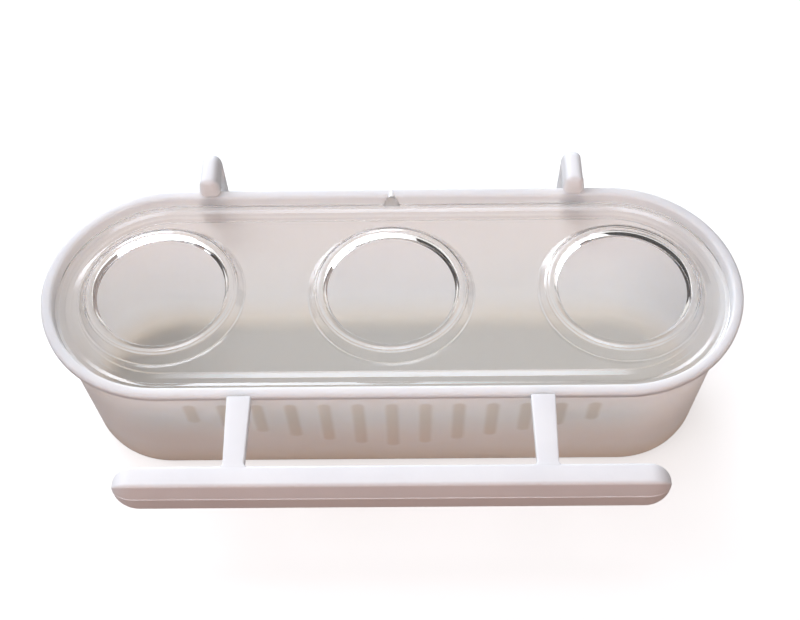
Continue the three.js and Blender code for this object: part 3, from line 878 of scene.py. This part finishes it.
def perch_arm(name, x):
    """Arm from the rim to the bar. It narrows towards the bar and spreads where it runs into it.

    Inside the bar it sinks a little, so that its top doesn't lie in the bar's top.
    """
    inside_bar = PERCH_BACK_Y - PERCH_DEPTH / 2
    stations = [
        (ARM_ROOT_Y, ARM_ROOT_HALF_WIDTH - ARM_ROOT_CHAMFER),
        (ARM_ROOT_Y - ARM_ROOT_CHAMFER, ARM_ROOT_HALF_WIDTH),
    ]
    fillet_start = PERCH_BACK_Y + ARM_FILLET
    straight_steps = 6
    for step in range(1, straight_steps + 1):
        share = step / straight_steps
        stations.append((
            ARM_ROOT_Y + (fillet_start - ARM_ROOT_Y) * share,
            ARM_ROOT_HALF_WIDTH + (ARM_TIP_HALF_WIDTH - ARM_ROOT_HALF_WIDTH) * share,
        ))
    fillet_steps = 6
    for step in range(1, fillet_steps + 1):
        share = step / fillet_steps
        spread = ARM_FILLET * (1 - math.sqrt(max(0.0, 1 - share * share)))
        stations.append((fillet_start - share * (ARM_FILLET + PERCH_RIDGE), ARM_TIP_HALF_WIDTH + spread))
    stations.append((inside_bar, stations[-1][1]))
    middle = RIM_TOP - ARM_THICKNESS / 2
    loops = []
    for y, half in stations:
        inside = max(0.0, PERCH_BACK_Y - PERCH_RIDGE - ARM_SINK_START - y)
        sunk = min(ARM_SINK, inside)
        loops.append([
            Vector((x + px, y, middle + pz - sunk))
            for px, pz in rounded_rectangle(half, ARM_THICKNESS / 2, ARM_ROUND)
        ])
    piece(name, capped(loops), WHITE, "perch_body")


def perch_peg(name, x):
    """Peg under an arm's root, with a lead-in at its tip."""
    middle_y = PEG_BACK_Y - PEG_DEPTH / 2
    sections = [(PEG_TIP_Z + rise, cut) for rise, cut in PEG_LEAD_IN]
    sections += [(ARM_UNDER_Z - SEAT_GAP, 0.0), (ARM_UNDER_Z + ARM_THICKNESS / 2, 0.0)]
    loops = [
        [
            Vector((x + px, middle_y + py, z))
            for px, py in rounded_rectangle(PEG_HALF_WIDTH - cut, PEG_DEPTH / 2 - cut, PEG_ROUND)
        ]
        for z, cut in sections
    ]
    piece(name, capped(loops), WHITE, "perch_body")


# Hooks

def hook_outline():
    """Side view of a hook in Y and Z from its foot round the gap and the tip, with edge rounds."""
    front = HOOK_LOW.y
    back = HOOK_HIGH.y
    top = HOOK_HIGH.z
    foot_back = STEM_FRONT_Y + STEM_THICKNESS + PEG_GAP
    inner_z = top - HOOK_BRIDGE
    leg_front = back - HOOK_LEG
    tip = HOOK_LEG / 2
    inner = HOOK_INNER_ROUND
    gap = [
        (foot_back, HOOK_FOOT_Z),
        *arc((foot_back + inner, inner_z - inner), inner, 180, 90),
        *arc((leg_front - inner, inner_z - inner), inner, 90, 0),
    ]
    free_tip = arc((leg_front + tip, HOOK_TIP_Z + tip), tip, 180, 360)
    bend = [
        *arc((back - HOOK_BACK_ROUND, top - HOOK_BACK_ROUND), HOOK_BACK_ROUND, 0, 90),
        *arc((front + HOOK_FRONT_ROUND, top - HOOK_FRONT_ROUND), HOOK_FRONT_ROUND, 90, 180),
        (front, HOOK_FOOT_Z),
    ]
    rounds = (
        [HOOK_GAP_EDGE_ROUND] * len(gap)
        + [HOOK_TIP_EDGE_ROUND] * len(free_tip)
        + [HOOK_EDGE_ROUND] * len(bend)
    )
    return gap + free_tip + bend, rounds


def inward_normals(outline):
    """Unit vectors into a counter-clockwise or clockwise outline at each of its points."""
    area = sum(
        a[0] * b[1] - b[0] * a[1] for a, b in zip(outline, outline[1:] + outline[:1])
    )
    turn = 1 if area > 0 else -1
    normals = []
    for before, after in zip(outline[-1:] + outline[:-1], outline[1:] + outline[:1]):
        along = Vector((after[0] - before[0], after[1] - before[1])).normalized()
        normals.append(Vector((-along.y, along.x)) * turn)
    return normals


def hook_bend(name, x):
    """Hook over the wire. Its edges are round outside and nearly sharp round the gap."""
    outline, rounds = hook_outline()
    normals = inward_normals(outline)
    columns = []
    steps = 6
    for side in (-1, 1):
        for step in range(steps + 1):
            angle = math.pi / 2 * step / steps
            if side > 0:
                angle = math.pi / 2 - angle
            drawn = 1 - math.sin(angle)
            narrowed = HOOK_EDGE_ROUND * (1 - math.cos(angle))
            loop = []
            for (y, z), normal, edge in zip(outline, normals, rounds):
                half = HOOK_TOP_HALF_WIDTH + HOOK_DRAFT * min(HOOK_HIGH.z - z, HOOK_DRAFT_HEIGHT)
                loop.append(Vector((
                    x + side * (half - narrowed),
                    y + normal.x * drawn * edge,
                    z + normal.y * drawn * edge,
                )))
            columns.append(loop)
    return piece(name, capped(columns), WHITE, "trough_body")


def hook_stem(name, x):
    """Flat stem under a hook's foot, with a barb that catches under the sleeve."""
    back = STEM_FRONT_Y + STEM_THICKNESS
    barb_top = RIM_TOP - KEEPER_HEIGHT - PEG_GAP
    tip = barb_top - BARB_HEIGHT
    # From the tip up: height, y of the back face, and how much the corners are cut back
    sections = (
        (tip, back - BARB_RISE - 0.2, 0.35), (tip + 0.25, back - BARB_RISE, 0.0),
        (barb_top - 0.2, back + BARB_RISE, 0.0), (barb_top, back + BARB_RISE - 0.15, 0.1),
        (barb_top + 0.02, back, 0.0), (HOOK_FOOT_Z + HOOK_BRIDGE / 2, back, 0.0),
    )
    loops = []
    for z, back_y, cut in sections:
        middle = (STEM_FRONT_Y + back_y) / 2
        half_y = (back_y - STEM_FRONT_Y) / 2 - cut / 2
        loops.append([
            Vector((x + px, middle + py, z))
            for px, py in rounded_rectangle(STEM_HALF_WIDTH - cut, half_y, STEM_ROUND)
        ])
    piece(name, capped(loops), WHITE, "trough_body")


trough_shell()
for side, word in SIDES:
    peg_socket(f"peg_socket_{word}", side * ARM_HALF_SPACING)
    stem_keeper(f"stem_keeper_{word}", side * HOOK_HALF_SPACING)
clear_cover()
pull_tab()
perch_bar()
for side, word in SIDES:
    perch_arm(f"perch_arm_{word}", side * ARM_HALF_SPACING)
    perch_peg(f"perch_peg_{word}", side * ARM_HALF_SPACING)
    hook = hook_bend(f"hook_{word}_bend", side * HOOK_HALF_SPACING)
    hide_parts(f"hook_{word}")
    hook_stem(f"hook_{word}_stem", side * HOOK_HALF_SPACING)


# Stage

def seen_ray(tree, in_mirrors):
    """1 for rays that show the backdrop directly or through the clear cover, less for reflections."""
    ray = add(tree, "ShaderNodeLightPath")
    glossy = add(
        tree, "ShaderNodeMath", {"operation": "MULTIPLY", 1: in_mirrors},
        {0: ray.outputs["Is Glossy Ray"]},
    )
    mirrored = add(
        tree, "ShaderNodeMath", {"operation": "MAXIMUM"},
        {0: glossy.outputs[0], 1: ray.outputs["Is Transmission Ray"]},
    )
    return add(
        tree, "ShaderNodeMath", {"operation": "MAXIMUM"},
        {0: ray.outputs["Is Camera Ray"], 1: mirrored.outputs[0]},
    ).outputs[0]


def studio_floor():
    """Pale paper that looks white and keeps the feeder's shadow, but throws little light back up."""
    mesh = bpy.data.meshes.new("studio_floor")
    half = 3.0
    mesh.from_pydata(
        [(-half, -half, 0), (half, -half, 0), (half, half, 0), (-half, half, 0)], [], [(0, 1, 2, 3)]
    )
    material, tree = new_material("pale_studio_paper")
    unseen = add(tree, "ShaderNodeBsdfDiffuse", {"Color": linear("#5E4B41")})
    shaded = add(tree, "ShaderNodeBsdfDiffuse", {"Color": linear("#CFCFCF")})
    lit = add(tree, "ShaderNodeEmission", {"Strength": 0.6})
    paper = add(
        tree, "ShaderNodeAddShader", None, {0: shaded.outputs["BSDF"], 1: lit.outputs["Emission"]}
    )
    mixed = add(
        tree, "ShaderNodeMixShader", None,
        {0: seen_ray(tree, 0.3), 1: unseen.outputs["BSDF"], 2: paper.outputs["Shader"]},
    )
    add(tree, "ShaderNodeOutputMaterial", links={"Surface": mixed.outputs["Shader"]})
    mesh.materials.append(material)
    floor = bpy.data.objects.new("studio_floor", mesh)
    floor.location.z = -0.2 * MM
    bpy.context.scene.collection.objects.link(floor)


def studio_world():
    """An even grey room light behind a white backdrop."""
    world = bpy.data.worlds.new("studio_world")
    bpy.context.scene.world = world
    world.use_nodes = True
    tree = world.node_tree
    tree.nodes.clear()
    ambient = add(tree, "ShaderNodeBackground", {"Color": linear("#F3F3F5"), "Strength": 0.38})
    backdrop = add(tree, "ShaderNodeBackground", {"Color": linear("#FFFFFF"), "Strength": 1.0})
    mixed = add(
        tree, "ShaderNodeMixShader", None,
        {0: seen_ray(tree, 1.0), 1: ambient.outputs["Background"], 2: backdrop.outputs["Background"]},
    )
    add(tree, "ShaderNodeOutputWorld", links={"Surface": mixed.outputs["Shader"]})


def soft_edge(lamp):
    """Lets a lamp's face fade towards its edge, as cloth does, so that its reflections end softly."""
    lamp.use_nodes = True
    tree = lamp.node_tree
    tree.nodes.clear()
    face = add(tree, "ShaderNodeNewGeometry")
    away = add(
        tree, "ShaderNodeVectorMath", {"operation": "DISTANCE", 1: (0.5, 0.5, 0.0)},
        {0: face.outputs["Parametric"]},
    )
    glow = add(
        tree, "ShaderNodeMapRange",
        {
            "interpolation_type": "SMOOTHSTEP", "From Min": 0.5, "From Max": 0.2,
            "To Min": 0.0, "To Max": 1.7,
        },
        {"Value": away.outputs["Value"]},
    )
    light = add(tree, "ShaderNodeEmission", links={"Strength": glow.outputs["Result"]})
    add(tree, "ShaderNodeOutputLight", links={"Surface": light.outputs["Emission"]})


def aim(obj, azimuth, elevation, distance):
    """Places an object so that it faces the feeder. Azimuth 0 is in front and 90 on the right."""
    turn, tilt = math.radians(azimuth), math.radians(elevation)
    direction = Vector((
        math.sin(turn) * math.cos(tilt), -math.cos(turn) * math.cos(tilt), math.sin(tilt)
    ))
    obj.location = direction * distance
    obj.rotation_mode = "QUATERNION"
    obj.rotation_quaternion = direction.to_track_quat("Z", "Y")
    bpy.context.scene.collection.objects.link(obj)


def softbox(name, place, width, height, power, colour, mirrored=True):
    """A soft oval lamp at an azimuth, elevation and distance. Unless mirrored, no surface shows it."""
    lamp = bpy.data.lights.new(name, "AREA")
    soft_edge(lamp)
    lamp.shape = "ELLIPSE"
    lamp.size = width
    lamp.size_y = height
    lamp.energy = power
    lamp.color = linear(colour)[:3]
    obj = bpy.data.objects.new(name, lamp)
    obj.visible_glossy = mirrored
    obj.visible_transmission = mirrored
    aim(obj, *place)


def hidden_card(name, place, width, height, colour, mirrored=True):
    """A card that the camera can't see, but that clear edges show in place of the white backdrop.

    Unless mirrored, it shows only through the clear parts, and in no reflection.
    """
    mesh = bpy.data.meshes.new(name)
    x, y = width / 2, height / 2
    mesh.from_pydata([(-x, -y, 0), (x, -y, 0), (x, y, 0), (-x, y, 0)], [], [(0, 1, 2, 3)])
    material, tree = new_material(f"{name}_card")
    card = add(tree, "ShaderNodeBsdfDiffuse", {"Color": linear(colour)})
    add(tree, "ShaderNodeOutputMaterial", links={"Surface": card.outputs["BSDF"]})
    mesh.materials.append(material)
    flag = bpy.data.objects.new(name, mesh)
    flag.visible_camera = False
    flag.visible_diffuse = False
    flag.visible_shadow = False
    flag.visible_glossy = mirrored
    aim(flag, *place)


def camera():
    """A camera at the photograph's angle: above and in front, leaning a little to one side."""
    data = bpy.data.cameras.new("camera")
    data.sensor_width = 36.0
    data.lens = 56.78
    obj = bpy.data.objects.new("camera", data)
    place = Vector((0.006484, -0.209452, 0.350502))
    elevation, yaw, roll = (math.radians(angle) for angle in (55.49, -1.128, -1.43))
    forward = Vector((
        math.sin(yaw) * math.cos(elevation),
        math.cos(yaw) * math.cos(elevation),
        -math.sin(elevation),
    ))
    right = Vector((math.cos(yaw), -math.sin(yaw), 0))
    up = right.cross(forward)
    leaning_right = math.cos(roll) * right + math.sin(roll) * up
    leaning_up = math.cos(roll) * up - math.sin(roll) * right
    turn = Matrix((leaning_right, leaning_up, -forward)).transposed()
    obj.matrix_world = Matrix.Translation(place) @ turn.to_4x4()
    bpy.context.scene.collection.objects.link(obj)
    bpy.context.scene.camera = obj


studio_floor()
studio_world()
softbox("window_behind", (205, 24, 1.6), width=2.1, height=0.9, power=24, colour="#F2F6FF")
softbox("ceiling", (180, 89, 1.5), width=0.9, height=0.4, power=2.3, colour="#F0F5FF")
softbox("warm_room", (5, 26, 1.5), width=1.3, height=0.9, power=4.5, colour="#FF9A60", mirrored=False)
softbox("side_fill", (-62, 57, 1.6), width=1.4, height=1.2, power=10.0, colour="#F4F7FF", mirrored=False)
hidden_card("black_flag", (140, 17, 1.2), width=1.3, height=0.75, colour="#1A1614")
hidden_card("grey_flag", (238, 17, 1.2), width=1.0, height=0.75, colour="#E8E4E0", mirrored=False)
camera()
bpy.context.scene.view_settings.view_transform = "Standard"
